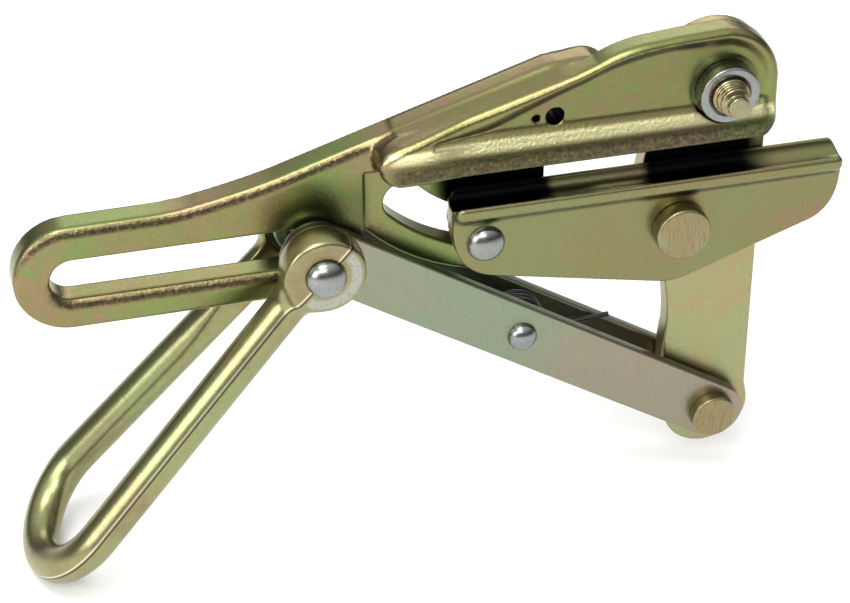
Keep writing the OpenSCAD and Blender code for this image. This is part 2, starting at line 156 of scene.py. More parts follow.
PLATE = outline(
    arc((-60.5, 5), 5, 180, 270, 12),
    arc((FOOT_X - FOOT_R, FOOT_R), FOOT_R, 270, 360, 16),
    arc(NOSE, NOSE_R, 0, 84, 32),
    [(33.5, 39.8)],
    curve((25, 39), (14, 38.4), (6, 33.6), 16),
    [(-1, 30.9), (-8, 28.8)],
    curve((-58, 14), (-68, 11), (-65.5, 5), 10))
RECESS = outline(
    [(-48, 12.9)],
    curve((-47, 13.6), (-34, 14.6), (-24.4, 18.9), 12),
    [(-8, 25.8)],
    curve((2, 29.6), (14, 35.6), (31, 36.9), 16),
    arc(NOSE, NOSE_R - 3.4, 84, 0, 32),
    arc((NOSE[0] + NOSE_R - 7.6, 16.4), 4.2, 0, -90, 12))
BULGE = outline(  # (y, z)
    [(2, 13.4), (2, -0.6), (RIM_Y + 2.6, -0.1)],
    arc((RIM_Y + 7.6, 4.5), 7.6, 218, 95, 36))
JAW = outline(
    [(JAW_X0, JAW_TOP - 1), (JAW_X0, -23.5)],
    curve((JAW_X0 + 0.3, -25), (JAW_X0 + 2, -38.4), (-27, -40.9), 20),
    arc((33.5, -32), 21.1, 257.7, 290, 20),
    curve((83, -36.4), (91.5, -32.5), (JAW_X1, -20), 20),
    [(JAW_X1, JAW_TOP - 2.6), (JAW_X1 - 1, JAW_TOP - 1)])
LIP = outline([  # (y, z)
    (PLATE_BACK, -9.5), (RIM_Y + 1, JAW_TOP), (RIM_Y + 0.2, JAW_TOP - 0.8),
    (RIM_Y + 0.2, JAW_TOP - 3.8), (RIM_Y + 1.2, JAW_TOP - 5), (JAW_FACE_Y, JAW_TOP - 7.5),
    (JAW_FACE_Y + 1, JAW_TOP - 8), (PLATE_BACK, JAW_TOP - 8)])
LOBE = LINK_PIN + (0.4, -2.2)
LOBE_R = 15.2
WAIST = np.array([37.2, -74.0])
LEVER = outline(
    arc(PIVOT, 18.1, 0, 170, 48),
    arc(JAW_PIN, 14, 166, 214, 14),
    curve(JAW_PIN + 14 * np.array([math.cos(math.radians(216)), math.sin(math.radians(216))]),
          (36.6, -50), WAIST, 20),
    curve(WAIST + (0, -4), (34.6, -94),
          LOBE + LOBE_R * np.array([math.cos(math.radians(164)), math.sin(math.radians(164))]), 16),
    arc(LOBE, LOBE_R, 168, 368, 60),
    [(67.4, LOBE[1] + 8), (67.4, PIVOT[1] - 20)])


# ---------------------------------------------------------------- signed distance fields
def polygon_distance(u, v, pts):
    """Signed distance of the points (u, v) to a closed outline, negative inside."""
    best = np.full(u.shape, 1e9)
    inside = np.zeros(u.shape, bool)
    for (ax, ay), (bx, by) in zip(pts, np.roll(pts, -1, 0)):
        ex, ey = bx - ax, by - ay
        length = ex * ex + ey * ey
        if length < 1e-12:
            continue
        t = np.clip(((u - ax) * ex + (v - ay) * ey) / length, 0, 1)
        best = np.minimum(best, (u - ax - t * ex) ** 2 + (v - ay - t * ey) ** 2)
        if ey != 0:
            crosses = (ay > v) != (by > v)
            inside ^= crosses & (u < ax + (v - ay) * ex / ey)
    return np.where(inside, -1, 1) * np.sqrt(best)


def segment_distance(u, v, a, b, radius):
    """Signed distance to a straight bar with round ends."""
    ex, ey = b[0] - a[0], b[1] - a[1]
    t = np.clip(((u - a[0]) * ex + (v - a[1]) * ey) / (ex * ex + ey * ey), 0, 1)
    return np.hypot(u - a[0] - t * ex, v - a[1] - t * ey) - radius


def disc(u, v, centre, radius):
    return np.hypot(u - centre[0], v - centre[1]) - radius


def guide_distance(u, v):
    """Distance to the curved guide slot: part of a ring about the guide centre."""
    du, dv = u - GUIDE_CENTRE[0], v - GUIDE_CENTRE[1]
    angle = np.clip(np.arctan2(-du, -dv), GUIDE_LOW, GUIDE_HIGH)
    return np.hypot(du + CRANK * np.sin(angle), dv + CRANK * np.cos(angle)) - GUIDE_HALF


def union(a, b, blend=0.0):
    """Two fields joined, with a fillet about as wide as the blend."""
    if blend <= 0:
        return np.minimum(a, b)
    h = np.clip(0.5 + 0.5 * (b - a) / blend, 0, 1)
    return b + (a - b) * h - blend * h * (1 - h)


def cut(a, b, blend=0.0):
    return -union(-a, b, blend)


def slab(flat, w, low, high, radius, radius_high=None):
    """A flat shape made solid between two levels of w, its edges rounded."""
    mid, half = (low + high) / 2, (high - low) / 2
    r = np.where(w < mid, radius, radius if radius_high is None else radius_high)
    d, e = flat + r, np.abs(w - mid) - half + r
    return np.minimum(np.maximum(d, e), 0) + np.hypot(np.maximum(d, 0), np.maximum(e, 0)) - r


def grid_axis(low, high, step):
    return low + step * np.arange(int(round((high - low) / step)) + 1)


def sample(field, origin, step, p):
    """Field value at points p, by trilinear interpolation."""
    q = (p - origin) / step
    i = np.clip(np.floor(q).astype(int), 0, np.array(field.shape) - 2)
    f = q - i
    x, y, z = i.T
    c = [[[field[x + a, y + b, z + c] for c in (0, 1)] for b in (0, 1)] for a in (0, 1)]
    fx, fy, fz = f.T

    def mix(a, b, t):
        return a + (b - a) * t

    c0 = [[mix(c[0][b][k], c[1][b][k], fx) for k in (0, 1)] for b in (0, 1)]
    c1 = [mix(c0[0][k], c0[1][k], fy) for k in (0, 1)]
    return mix(c1[0], c1[1], fz)


def sample_flat(field, xs, zs, step, p):
    """Value at points p of a field that depends on x and z only."""
    at = np.stack([p[:, 0], np.zeros(len(p)), p[:, 2]], 1)
    return sample(np.repeat(field[:, None, :], 2, 1), np.array([xs[0], 0, zs[0]]), step, at)


def gradient(field, origin, step, p):
    """Slope of the field at points p, by central differences."""
    h = step * 0.75
    out = np.empty_like(p)
    for k in range(3):
        d = np.zeros(3)
        d[k] = h
        out[:, k] = (sample(field, origin, step, p + d) - sample(field, origin, step, p - d)) / (2 * h)
    return out


def skin(field, origin, step):
    """Surface net of the field's zero level: points, four-sided faces and outward normals."""
    field = field.astype(np.float64)
    shape = np.array(field.shape) - 1
    total = int(np.prod(shape))
    sums = np.zeros((total, 3))
    count = np.zeros(total)
    quads = []
    for axis in range(3):
        lo = [slice(None)] * 3
        hi = [slice(None)] * 3
        lo[axis], hi[axis] = slice(0, -1), slice(1, None)
        f0, f1 = field[tuple(lo)], field[tuple(hi)]
        at = np.argwhere((f0 < 0) != (f1 < 0))
        a, b = f0[tuple(at.T)], f1[tuple(at.T)]
        point = at.astype(float)
        point[:, axis] += a / (a - b)
        j, k = [n for n in range(3) if n != axis]
        ok = (at[:, j] > 0) & (at[:, j] < shape[j]) & (at[:, k] > 0) & (at[:, k] < shape[k])
        at, point, a = at[ok], point[ok], a[ok]
        cells = []
        for dj, dk in ((-1, -1), (0, -1), (0, 0), (-1, 0)):
            cell = at.copy()
            cell[:, j] += dj
            cell[:, k] += dk
            index = np.ravel_multi_index(cell.T, shape)
            cells.append(index)
            for n in range(3):
                sums[:, n] += np.bincount(index, point[:, n], total)
            count += np.bincount(index, minlength=total)
        quad = np.stack(cells, 1)
        turn = (a < 0) if axis != 1 else (a >= 0)
        quad[~turn] = quad[~turn][:, ::-1]
        quads.append(quad)
    used = np.flatnonzero(count)
    renumber = np.full(total, -1)
    renumber[used] = np.arange(len(used))
    points = origin + step * sums[used] / count[used][:, None]
    # three Newton steps bring each point onto the surface
    for _ in range(3):
        g = gradient(field, origin, step, points)
        size = np.maximum((g * g).sum(1), 0.2)
        move = (sample(field, origin, step, points) / size)[:, None] * g
        points -= np.clip(move, -0.3 * step, 0.3 * step)
    g = gradient(field, origin, step, points)
    normals = g / np.maximum(np.linalg.norm(g, axis=1), 1e-9)[:, None]
    return points, renumber[np.vstack(quads)], normals


def turned_back(points, origin, angle):
    """From a level local frame to the part's, turned about Y and moved to the origin given."""
    c, s = math.cos(angle), math.sin(angle)
    out = points.copy()
    out[:, 0] = origin[0] + c * points[:, 0] + s * points[:, 2]
    out[:, 2] = origin[1] - s * points[:, 0] + c * points[:, 2]
    return out


def step_up(x, low, high):
    """Smooth step from 0 at low to 1 at high; low may be the larger."""
    t = np.clip((x - low) / (high - low), 0, 1)
    return t * t * (3 - 2 * t)


def place_piece(name, mesh, body, nodes, material):
    mesh.materials.append(material)
    piece = bpy.data.objects.new(name, mesh)
    bpy.context.scene.collection.objects.link(piece)
    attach(piece, body)
    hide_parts(*nodes)


def add_piece(name, points, faces, body, slot, nodes, material, normals, **fields):
    """A smooth mesh with its own normals; fields become point attributes for the material."""
    mesh = bpy.data.meshes.new(name)
    faces = np.asarray(faces)
    mesh.vertices.add(len(points))
    mesh.vertices.foreach_set("co", (points * MM).astype(np.float32).ravel())
    mesh.loops.add(faces.size)
    mesh.loops.foreach_set("vertex_index", faces.astype(np.int32).ravel())
    mesh.polygons.add(len(faces))
    mesh.polygons.foreach_set("loop_start", np.arange(0, faces.size, faces.shape[1], dtype=np.int32))
    mesh.update(calc_edges=True)
    mesh.validate()
    for key, value in fields.items():
        layer = mesh.attributes.new(key, "FLOAT", "POINT")
        layer.data.foreach_set("value", value.astype(np.float32))
    mesh.polygons.foreach_set("use_smooth", np.ones(len(mesh.polygons), bool))
    mesh.normals_split_custom_set_from_vertices(normals.astype(np.float32))
    place_piece(name, mesh, body, nodes, material)


# ---------------------------------------------------------------- materials
def noise(tree, where, scale, detail, roughness):
    made = tree.nodes.new("ShaderNodeTexNoise")
    made.inputs["Scale"].default_value = scale
    made.inputs["Detail"].default_value = detail
    made.inputs["Roughness"].default_value = roughness
    tree.links.new(where, made.inputs["Vector"])
    return made.outputs["Fac"]


def ramp(tree, value, low, high):
    """Smooth step from 0 at low to 1 at high; low may be the larger."""
    made = tree.nodes.new("ShaderNodeMapRange")
    made.interpolation_type = "SMOOTHSTEP"
    tree.links.new(value, made.inputs["Value"])
    made.inputs["From Min"].default_value = low
    made.inputs["From Max"].default_value = high
    return made.outputs["Result"]


def math_node(tree, op, *values):
    made = tree.nodes.new("ShaderNodeMath")
    made.operation = op
    for socket, value in zip(made.inputs, values):
        if hasattr(value, "links"):
            tree.links.new(value, socket)
        else:
            socket.default_value = value
    return made.outputs[0]


def mix_colour(tree, factor, a, b):
    made = tree.nodes.new("ShaderNodeMix")
    made.data_type = "RGBA"
    for socket, value in ((made.inputs[0], factor), (made.inputs[6], a), (made.inputs[7], b)):
        if hasattr(value, "links"):
            tree.links.new(value, socket)
        elif isinstance(value, (int, float)):
            socket.default_value = value
        else:
            socket.default_value = (*value, 1)
    return made.outputs[2]


def attribute(tree, name):
    made = tree.nodes.new("ShaderNodeAttribute")
    made.attribute_name = name
    return made.outputs["Fac"]


# colours laid over the plating: a dark brown for browned edges and for painted shade and shadow, black
# for painted shade in holes, grooves and gaps, a painted highlight, bare ground steel, and a painted
# highlight on the seam's lip
DARK_BROWN_AND_SHADE = (0.045, 0.037, 0.022)
SHADE_BLACK = (0.004, 0.005, 0.005)
PAINTED_HIGHLIGHT = (0.98, 0.93, 0.50)
GROUND_STEEL = (0.33, 0.335, 0.31)
SEAM_LIP_HIGHLIGHT = (0.80, 0.70, 0.50)


def faded(colour, share):
    return tuple(share * c for c in colour)


def plating(name, base, warm, cool, grain, roughness=0.31, patch=22.0, scratches=0.0, fields=()):
    """Yellow zinc plated steel: tinted patches, fine grain and scratches.

    grain is the strength of the bump, patch the size of the tinted patches in millimetres, and
    fields the point attributes of the mesh that mark wear, tints, painted shade and painted highlights.
    """
    made = bpy.data.materials.new(name)
    made.use_nodes = True
    tree = made.node_tree
    shader = tree.nodes["Principled BSDF"]
    where = tree.nodes.new("ShaderNodeTexCoord").outputs["Object"]

    def spots(size, detail, rough_detail):
        """Noise with features of a size in millimetres; the texture's scale is per metre."""
        return noise(tree, where, 1000 / size, detail, rough_detail)

    def times(a, b):
        return math_node(tree, "MULTIPLY", a, b)

    def painted(mask, over, amount=None):
        """The colour so far, with another over it where the mask says."""
        return mix_colour(tree, mask if amount is None else times(mask, amount), colour, over)

    speckle = spots(0.9, 3.0, 0.7)
    flecks = spots(3.5, 4.0, 0.7)
    colour = base
    colour = painted(ramp(tree, spots(patch, 3.0, 0.6), 0.47, 0.64), warm)
    colour = painted(ramp(tree, spots(patch * 2.7, 2.0, 0.5), 0.48, 0.62), cool)
    colour = painted(ramp(tree, flecks, 0.50, 0.66), warm, 0.45)
    colour = painted(ramp(tree, flecks, 0.50, 0.34), cool, 0.45)
    colour = painted(ramp(tree, speckle, 0.35, 0.75), faded(base, 0.55), 0.30)
    rough = math_node(tree, "MULTIPLY_ADD", speckle, 0.16, roughness - 0.08)
    height = spots(1.1, 3.0, 0.6)
    strength = grain
    if scratches:
        # long thin noise, turned 38 degrees, as a file or a wire brush leaves it
        stretch = tree.nodes.new("ShaderNodeMapping")
        stretch.inputs["Rotation"].default_value = (0, math.radians(38), 0)
        stretch.inputs["Scale"].default_value = (2600, 2600, 160)
        tree.links.new(where, stretch.inputs["Vector"])
        lines = noise(tree, stretch.outputs[0], 1.0, 2.0, 0.6)
        colour = painted(ramp(tree, lines, 0.52, 0.66), faded(base, 0.45), scratches)
        height = math_node(tree, "ADD", height, times(lines, 0.8))
    if "tint" in fields:
        # above 0 warmer, below 0 cooler
        tint = attribute(tree, "tint")
        mottle = spots(7, 4.0, 0.65)
        warmed = times(ramp(tree, tint, 0.0, 1.0), ramp(tree, mottle, 0.30, 0.62))
        cooled = times(ramp(tree, tint, 0.0, -1.0), ramp(tree, mottle, 0.66, 0.40))
        colour = painted(warmed, warm, 0.85)
        colour = painted(cooled, cool, 0.85)
    if "band" in fields:
        # browned, darkened and rougher along an edge
        band = attribute(tree, "band")
        colour = painted(band, warm, 0.7)
        colour = painted(times(band, ramp(tree, spots(1.6, 4.0, 0.7), 0.30, 0.58)), DARK_BROWN_AND_SHADE, 0.7)
        strength = math_node(tree, "ADD", times(band, 0.35), grain)
    if "rough" in fields:
        rough_skin = attribute(tree, "rough")
        height = math_node(tree, "ADD", height, times(rough_skin, times(spots(1.0, 3.0, 0.6), 0.9)))
        strength = math_node(tree, "ADD", times(rough_skin, 0.10), strength)
    # painted shade, grainy, over the bulge's middle, and a painted highlight along its top
    if "bulge_shade" in fields:
        grains = spots(1.3, 4.0, 0.7)
        colour = painted(times(attribute(tree, "bulge_shade"), ramp(tree, grains, 0.95, 0.35)), DARK_BROWN_AND_SHADE, 0.95)
        colour = painted(times(attribute(tree, "bulge_highlight"), ramp(tree, grains, -0.2, 0.6)), PAINTED_HIGHLIGHT)
    # painted shade under the upper jaw's rim and under the lower jaw's lip
    if "valley" in fields:
        colour = painted(attribute(tree, "valley"), DARK_BROWN_AND_SHADE)
    if "ground" in fields:
        bare = times(attribute(tree, "ground"), ramp(tree, speckle, 0.25, 0.55))
        colour = painted(bare, GROUND_STEEL)
    # painted shade: black in holes, in the rope's seat, in gaps and between the jaws
    if "dark" in fields:
        colour = painted(attribute(tree, "dark"), SHADE_BLACK)
        shader.inputs["Specular IOR Level"].default_value = 0.3
    if "seam" in fields:
        # millimetres from the parting line: a painted shadow on the line, a painted highlight on the
        # lip beside it
        seam = attribute(tree, "seam")
        beside = math_node(tree, "SUBTRACT", seam, 0.55)
        seam_shadow = ramp(tree, math_node(tree, "ABSOLUTE", seam), 0.75, 0.15)
        lip = ramp(tree, math_node(tree, "ABSOLUTE", beside), 0.55, 0.15)
        colour = painted(seam_shadow, faded(DARK_BROWN_AND_SHADE, 0.25), 0.8)
        colour = painted(lip, SEAM_LIP_HIGHLIGHT, 0.6)
    bump = tree.nodes.new("ShaderNodeBump")
    bump.inputs["Distance"].default_value = 0.35 * MM
    if hasattr(strength, "links"):
        tree.links.new(strength, bump.inputs["Strength"])
    else:
        bump.inputs["Strength"].default_value = strength
    tree.links.new(height, bump.inputs["Height"])
    tree.links.new(bump.outputs[0], shader.inputs["Normal"])
    tree.links.new(colour, shader.inputs["Base Color"])
    tree.links.new(rough, shader.inputs["Roughness"])
    shader.inputs["Metallic"].default_value = 1.0
    return made


# name, then the base, the warm and the cool colour
forged = plating(
    "forged_body", (0.208, 0.192, 0.078), (0.245, 0.172, 0.098), (0.168, 0.228, 0.074),
    grain=0.20, patch=26, fields=("tint", "bulge_shade", "band", "rough", "valley", "dark"))
forged_jaw = plating(
    "forged_jaw", (0.205, 0.186, 0.084), (0.245, 0.172, 0.10), (0.19, 0.205, 0.09),
    grain=0.14, fields=("band", "valley", "dark"))
forged_bail = plating(
    "forged_bail", (0.26, 0.25, 0.12), (0.235, 0.185, 0.105), (0.25, 0.285, 0.13),
    grain=0.16, roughness=0.30, fields=("tint", "ground", "seam"))
rolled = plating(
    "rolled_bar", (0.265, 0.245, 0.175), (0.31, 0.22, 0.18), (0.215, 0.265, 0.18),
    grain=0.08, roughness=0.34, patch=30.0, scratches=0.12)
rolled_lever = plating(
    "rolled_lever", (0.32, 0.30, 0.155), (0.35, 0.275, 0.14), (0.28, 0.315, 0.155),
    grain=0.10, roughness=0.36, patch=16.0, scratches=0.10, fields=("dark",))
headed = plating(
    "plated_head", (0.25, 0.215, 0.108), (0.295, 0.205, 0.12), (0.24, 0.25, 0.145),
    grain=0.10, roughness=0.32, patch=7.0, scratches=0.55)
bright = plating(
    "bright_steel", (0.25, 0.265, 0.26), (0.26, 0.25, 0.22), (0.215, 0.235, 0.24),
    grain=0.05, roughness=0.26, patch=5.0)
broken = plating(
    "broken_pintail", (0.30, 0.25, 0.13), (0.26, 0.18, 0.11), (0.27, 0.28, 0.17),
    grain=0.06, roughness=0.27, patch=4.0)
# the eye washers are near-black: painted shade, for they sit in shadow beside the bail's eye
washer_shade = plating(
    "washer_painted_shade", (0.07, 0.065, 0.04), (0.09, 0.065, 0.045), (0.06, 0.07, 0.04),
    grain=0.06, roughness=0.40, patch=5.0)
bronze = plating(
    "bronze", (0.52, 0.36, 0.16), (0.55, 0.33, 0.17), (0.42, 0.36, 0.16),
    grain=0.05, roughness=0.40, patch=8.0)
sprung = plating(
    "spring_wire", (0.06, 0.06, 0.06), (0.08, 0.07, 0.055), (0.055, 0.06, 0.06),
    grain=0.05, roughness=0.36, patch=5.0)


# ---------------------------------------------------------------- forged body
def body_marks(points, normals, edge, wall):
    """Wear, tints, painted shade and painted highlights of the body, each from 0 to 1, as point
    attributes.

    edge and wall are the distances from the outlines of the tail and of the recess.
    """
    px, py, pz = points.T
    up, ahead = normals[:, 2], -normals[:, 1]
    # browned and darkened along the tail's upper front edges
    band = step_up(up, 0.08, 0.30) * step_up(ahead, 0.55, 0.72) * step_up(edge, -5.0, -4.0)
    band *= step_up(px, -66.0, -71.0) * step_up(py, TAIL_Y0 + 2.4, TAIL_Y0 + 1.6)
    # painted shade under the rim, on its downward faces where the recess begins
    valley = step_up(wall, -2.6, -1.0) * step_up(wall, 2.2, 0.8) * step_up(up, -0.02, -0.22)
    valley *= 0.9 * step_up(py, 1.0, -0.6) * step_up(pz, 12.5, 15.0) * step_up(px, 56, 40)
    # painted shade: black in the two small holes and in the rope's seat
    from_tether = np.hypot(px - TETHER[0], pz - TETHER[1])
    from_dimple = np.hypot(px - DIMPLE[0], pz - DIMPLE[1])
    bore = step_up(from_tether, TETHER_R + 0.3, TETHER_R + 0.1)
    bore = bore + step_up(from_dimple, DIMPLE_R + 0.4, DIMPLE_R + 0.2) * (py < RECESS_Y + 3.5)
    bore *= step_up(py, RECESS_Y - 0.4, RECESS_Y)
    seat = step_up(np.hypot(py, pz), SEAT_R + 0.7, SEAT_R + 0.3) * step_up(px, -72, -68)
    # painted shadow: black on the web behind the jaws
    shade = step_up(px, -50, -40) * step_up(px, 16, 8) * step_up(pz, 3, 1)
    shade *= step_up(py, WEB_Y0 + 2, WEB_Y0 + 1) * step_up(pz, -21, -16) * (py > 4)
    # painted shade round the collar, behind the bail's eye, and lightly over the recess's floor
    from_pivot = np.hypot(px - PIVOT[0], pz - PIVOT[1])
    collar = step_up(from_pivot, SPOT_FACE_R + 0.7, SPOT_FACE_R - 0.2) * step_up(py, -0.9, -1.25)
    shade_near_eye = step_up(px, -96, -80) * step_up(px, -65, -69) * step_up(pz, 4, -10) * step_up(py, 8, 7)
    recess_floor = step_up(wall, -0.5, -3.0) * step_up(py, -3.2, -2.2) * (py < 0)
    for mask, depth in ((collar, 0.75), (shade_near_eye, 0.42), (recess_floor, 0.13)):
        shade = np.maximum(shade, depth * mask)
    # warm at the tail's end and on the ridge's top, cool in the recess and on the lower limb
    ridge_top = step_up(up, 0.55, 0.85) * step_up(py, TAIL_Y0, TAIL_Y0 + 3) * step_up(px, -75, -55)
    lower_limb = step_up(pz, -32, -37) * step_up(px, -168, -158) * step_up(px, -92, -112)
    tint = 0.85 * step_up(px, -158, -172) + 0.8 * ridge_top
    tint -= 0.55 * recess_floor + 0.8 * lower_limb
    # the bulge: a painted highlight above, painted shade below
    bulge = step_up(py, -2.4, -3.4) * step_up(px, -66, -58)
    return dict(
        tint=tint, band=band, valley=valley, rough=step_up(py, -1.5, -2.8),
        bulge_shade=bulge * step_up(pz, 0.4, 2.6) * step_up(pz, 8.4, 6.0),
        bulge_highlight=bulge * step_up(pz, 7.6, 9.8) * step_up(pz, 12.8, 11.4),
        dark=np.clip(bore + seat + shade, 0, 1))


def build_body():
    step = 0.6
    xs = grid_axis(-185, 69.5, step)
    ys = grid_axis(-7.8, 16.6, step)
    zs = grid_axis(-45.5, 43, step)
    u, v = np.meshgrid(xs, zs, indexing="ij")
    slot = segment_distance(u, v, (SLOT_X0, SLOT_Z), (SLOT_X1, SLOT_Z), SLOT_HALF)
    tail = cut(polygon_distance(u, v, TAIL), slot)
    web = cut(polygon_distance(u, v, WEB), guide_distance(u, v))
    plate = polygon_distance(u, v, PLATE)
    recess = polygon_distance(u, v, RECESS)
    bulge = polygon_distance(*np.meshgrid(ys, zs, indexing="ij"), BULGE)[None]
    x, y, z = xs[:, None, None], ys[None, :, None], zs[None, None, :]
    tail_3d, web_3d, plate_3d, recess_3d = (flat[:, None, :] for flat in (tail, web, plate, recess))
    # tail and web, with draft on the edges that face up
    upward = step_up(np.gradient(tail_3d, step, axis=2), -0.2, 0.5)
    tail_front = TAIL_Y0 + 1.5 * upward * np.clip(1 + tail_3d / 4.2, 0, 1) ** 2
    back = union(slab(tail_3d, y, tail_front, TAIL_Y1, 1.1, 0.6),
                 slab(web_3d, y, WEB_Y0, TAIL_Y1, 0.9, 1.0), 1.6)
    # upper jaw: its rim stands proud of the recess, most at the left
    rim_height = 3.9 - 2.3 * step_up(x, -56, -34)
    rim_front = RECESS_Y - rim_height * step_up(recess_3d, -2.8, 1.8)
    front = union(slab(plate_3d, y, rim_front, PLATE_BACK, 2.6, 0.5),
                  slab(bulge, x, BULGE_X0, BULGE_X1, 5.0), 3.0)
    # the smooth fall from the ridge to the rim, within its own box
    slope = (z - PEAK[1] - RIDGE * (x - PEAK[0])) * math.cos(math.atan(RIDGE)) + 0.3
    sag = 0.012 * np.maximum(12 - y, 0) ** 2
    fall = np.maximum(np.maximum(slope, z - 31.0) + sag, np.maximum(x - 6, -58 - x))
    fall = np.maximum(np.maximum(fall, 4 - z), np.abs(y - 7) - 6.2)
    body = union(union(front, fall, 1.5), back, 2.0)
    # the flat under the collar, then the rope's seat and the holes
    body = cut(body, np.maximum(disc(x, z, PIVOT, SPOT_FACE_R), y - RECESS_Y), 0.8)
    body = cut(body, np.hypot(y, z) - SEAT_R, 0.7)
    body = cut(body, disc(x, z, PIVOT, PIVOT_HOLE_R))
    body = cut(body, disc(x, z, TETHER, TETHER_R))
    body = cut(body, np.maximum(disc(x, z, DIMPLE, DIMPLE_R), y - RECESS_Y - DIMPLE_DEPTH))
    points, faces, normals = skin(body, np.array([xs[0], ys[0], zs[0]]), step)
    marks = body_marks(points, normals, sample_flat(tail, xs, zs, step, points),
                       sample_flat(recess, xs, zs, step, points))
    add_piece("body_forging", points, faces, "grip", "forging", ["grip_body"], forged,
              normals, **marks)


def build_jaw():
    step = 0.55
    xs = grid_axis(JAW_X0 - 1.5, JAW_X1 + 1.5, step)
    ys = grid_axis(-7.5, 7.5, step)
    zs = grid_axis(-54, -9, step)
    u, v = np.meshgrid(xs, zs, indexing="ij")
    flat = polygon_distance(u, v, JAW)
    lip = polygon_distance(*np.meshgrid(ys, zs, indexing="ij"), LIP)[None]
    x, y, z = xs[:, None, None], ys[None, :, None], zs[None, None, :]
    lip = slab(lip, x, JAW_X0, JAW_X1 - 0.4, 2.8)
    plate = slab(flat[:, None, :], y, JAW_FACE_Y, PLATE_BACK, 0.6)
    jaw = union(plate, lip, 1.5)
    jaw = cut(jaw, np.hypot(y, z - JAW_SEAT_Z) - SEAT_R, 0.5)
    jaw = cut(jaw, disc(x, z, JAW_PIN, JAW_PIN_R + RUN_FIT))
    points, faces, normals = skin(jaw, np.array([xs[0], ys[0], zs[0]]), step)
    px, py, pz = points.T
    # painted shade under the lip, wear on top of it, and a painted dark reflection that keeps the
    # groove black but for two lit stretches
    valley = step_up(pz, JAW_TOP - 8.4, JAW_TOP - 7.2) * step_up(pz, JAW_TOP - 4.6, JAW_TOP - 6.0)
    valley *= step_up(py, 0, -1.5) * 0.35
    band = step_up(pz, JAW_TOP - 1.6, JAW_TOP - 0.4) * step_up(py, -3.0, -4.6) * 0.3
    groove = step_up(np.hypot(py, pz - JAW_SEAT_Z), SEAT_R + 0.6, SEAT_R + 0.2)
    lit = step_up(px, -9, -5) * step_up(px, 27, 23) + step_up(px, 58, 72)
    add_piece("jaw_forging", points, faces, "jaw", "forging", ["lower_jaw"], forged_jaw,
              normals, band=band, valley=valley, dark=groove * (1 - 0.9 * lit))


def build_bail():
    step = 0.6
    ss = grid_axis(-16, 154, step)
    ys = grid_axis(-33, 33, step)
    ns = grid_axis(-16, 16, step)
    s, y, n = ss[:, None, None], ys[None, :, None], ns[None, None, :]
    m = n + LEG_LOW
    cf, sf = math.cos(LEG_FLARE), math.sin(LEG_FLARE)
    leg_y = BEND_R / cf - BEND_AT * math.tan(LEG_FLARE)
    ay = np.abs(y)
    # distance to the centre line: a straight leg, then the round bend
    along = s * cf + (ay - leg_y) * sf
    leg_end = (BEND_AT - BEND_R * sf) * cf + (BEND_R * cf - leg_y) * sf
    across = (ay - leg_y) * cf - s * sf
    straight = np.hypot(across, m)
    start = np.sqrt(across ** 2 + m ** 2 + np.minimum(along - 4, 0) ** 2)
    ring = np.hypot(np.hypot(s - BEND_AT, y) - BEND_R, m)
    rod = np.where(along < leg_end, np.where(along < 4, start, straight), ring) - ROD_R
    radial = np.hypot(s, n)
    mid = (EYE_IN + EYE_OUT) / 2
    barrel = radial - (EYE_R + 0.9) + 0.9 * ((ay - mid) / ((EYE_OUT - EYE_IN) / 2)) ** 2
    eye = slab(barrel, ay, EYE_IN, EYE_OUT, 1.2, 0.9)
    bail = union(rod, eye, 6.0)
    # the blend stays inside the eye's own faces
    bail = np.maximum(bail, ay - EYE_OUT - np.maximum(s - 18, 0) * 0.5)
    gap = np.maximum(np.abs(y + BAIL_SHIFT) - BAR_OUT - 0.4, s - 62)
    bail = cut(bail, gap, 0.8)
    bail = cut(bail, np.maximum(radial - WASHER_ROOM, ay - EYE_IN), 0.5)
    bail = cut(bail, radial - BAIL_PIN_R - RUN_FIT)
    points, faces, normals = skin(bail, np.array([ss[0], ys[0], ns[0]]), step)
    ps, py, pn = points.T
    # parting line, drawn with a painted shadow and a painted highlight: along the front of each leg,
    # and over the eye
    seam_angle = math.radians(17)
    pay = np.abs(py)
    p_along = ps * cf + (pay - leg_y) * sf
    p_across = np.where(p_along < leg_end, (pay - leg_y) * cf - ps * sf,
                        np.hypot(ps - BEND_AT, py) - BEND_R)
    turn = np.arctan2(pn + LEG_LOW, p_across)
    on_leg = ROD_R * (turn - seam_angle)
    share = step_up(ps, 8, 22)
    seam = pn * (1 - share) + on_leg * share
    seam = np.where(pay < EYE_IN + 0.6, 9.0, seam)
    seam = np.where((p_across < 0) & (ps > 14), 9.0, seam)
    # a ground crescent and a warm tint on the front eye's face
    from_pin = np.hypot(ps, pn)
    ground = step_up(from_pin, 7.9, 8.9) * step_up(from_pin, 12.3, 11.5) * step_up(pn, -0.8, -1.6)
    ground *= step_up(py, -EYE_OUT + 1.0, -EYE_OUT + 0.6)
    tint = step_up(py, -EYE_OUT + 1.0, -EYE_OUT + 0.6) * step_up(ps, 17, 12) * step_up(pn, -0.6, 0.4)
    # s runs down the bail from the pin, n up to its left
    points[:, 1] += MID_Y + BAIL_SHIFT
    down = (-math.cos(BAIL_DROP), -math.sin(BAIL_DROP))
    left = (-math.sin(BAIL_DROP), math.cos(BAIL_DROP))
    world, world_normals = points.copy(), normals.copy()
    for axis, k in ((0, 0), (2, 1)):
        world[:, axis] = BAIL_PIN[k] + ps * down[k] + pn * left[k]
        world_normals[:, axis] = normals[:, 0] * down[k] + normals[:, 2] * left[k]
    # the turn mirrors the mesh, so its faces are reversed
    add_piece("bail_forging", world, faces[:, ::-1], "bail", "forging", ["pull_bail"], forged_bail,
              world_normals, seam=seam, ground=ground, tint=tint)


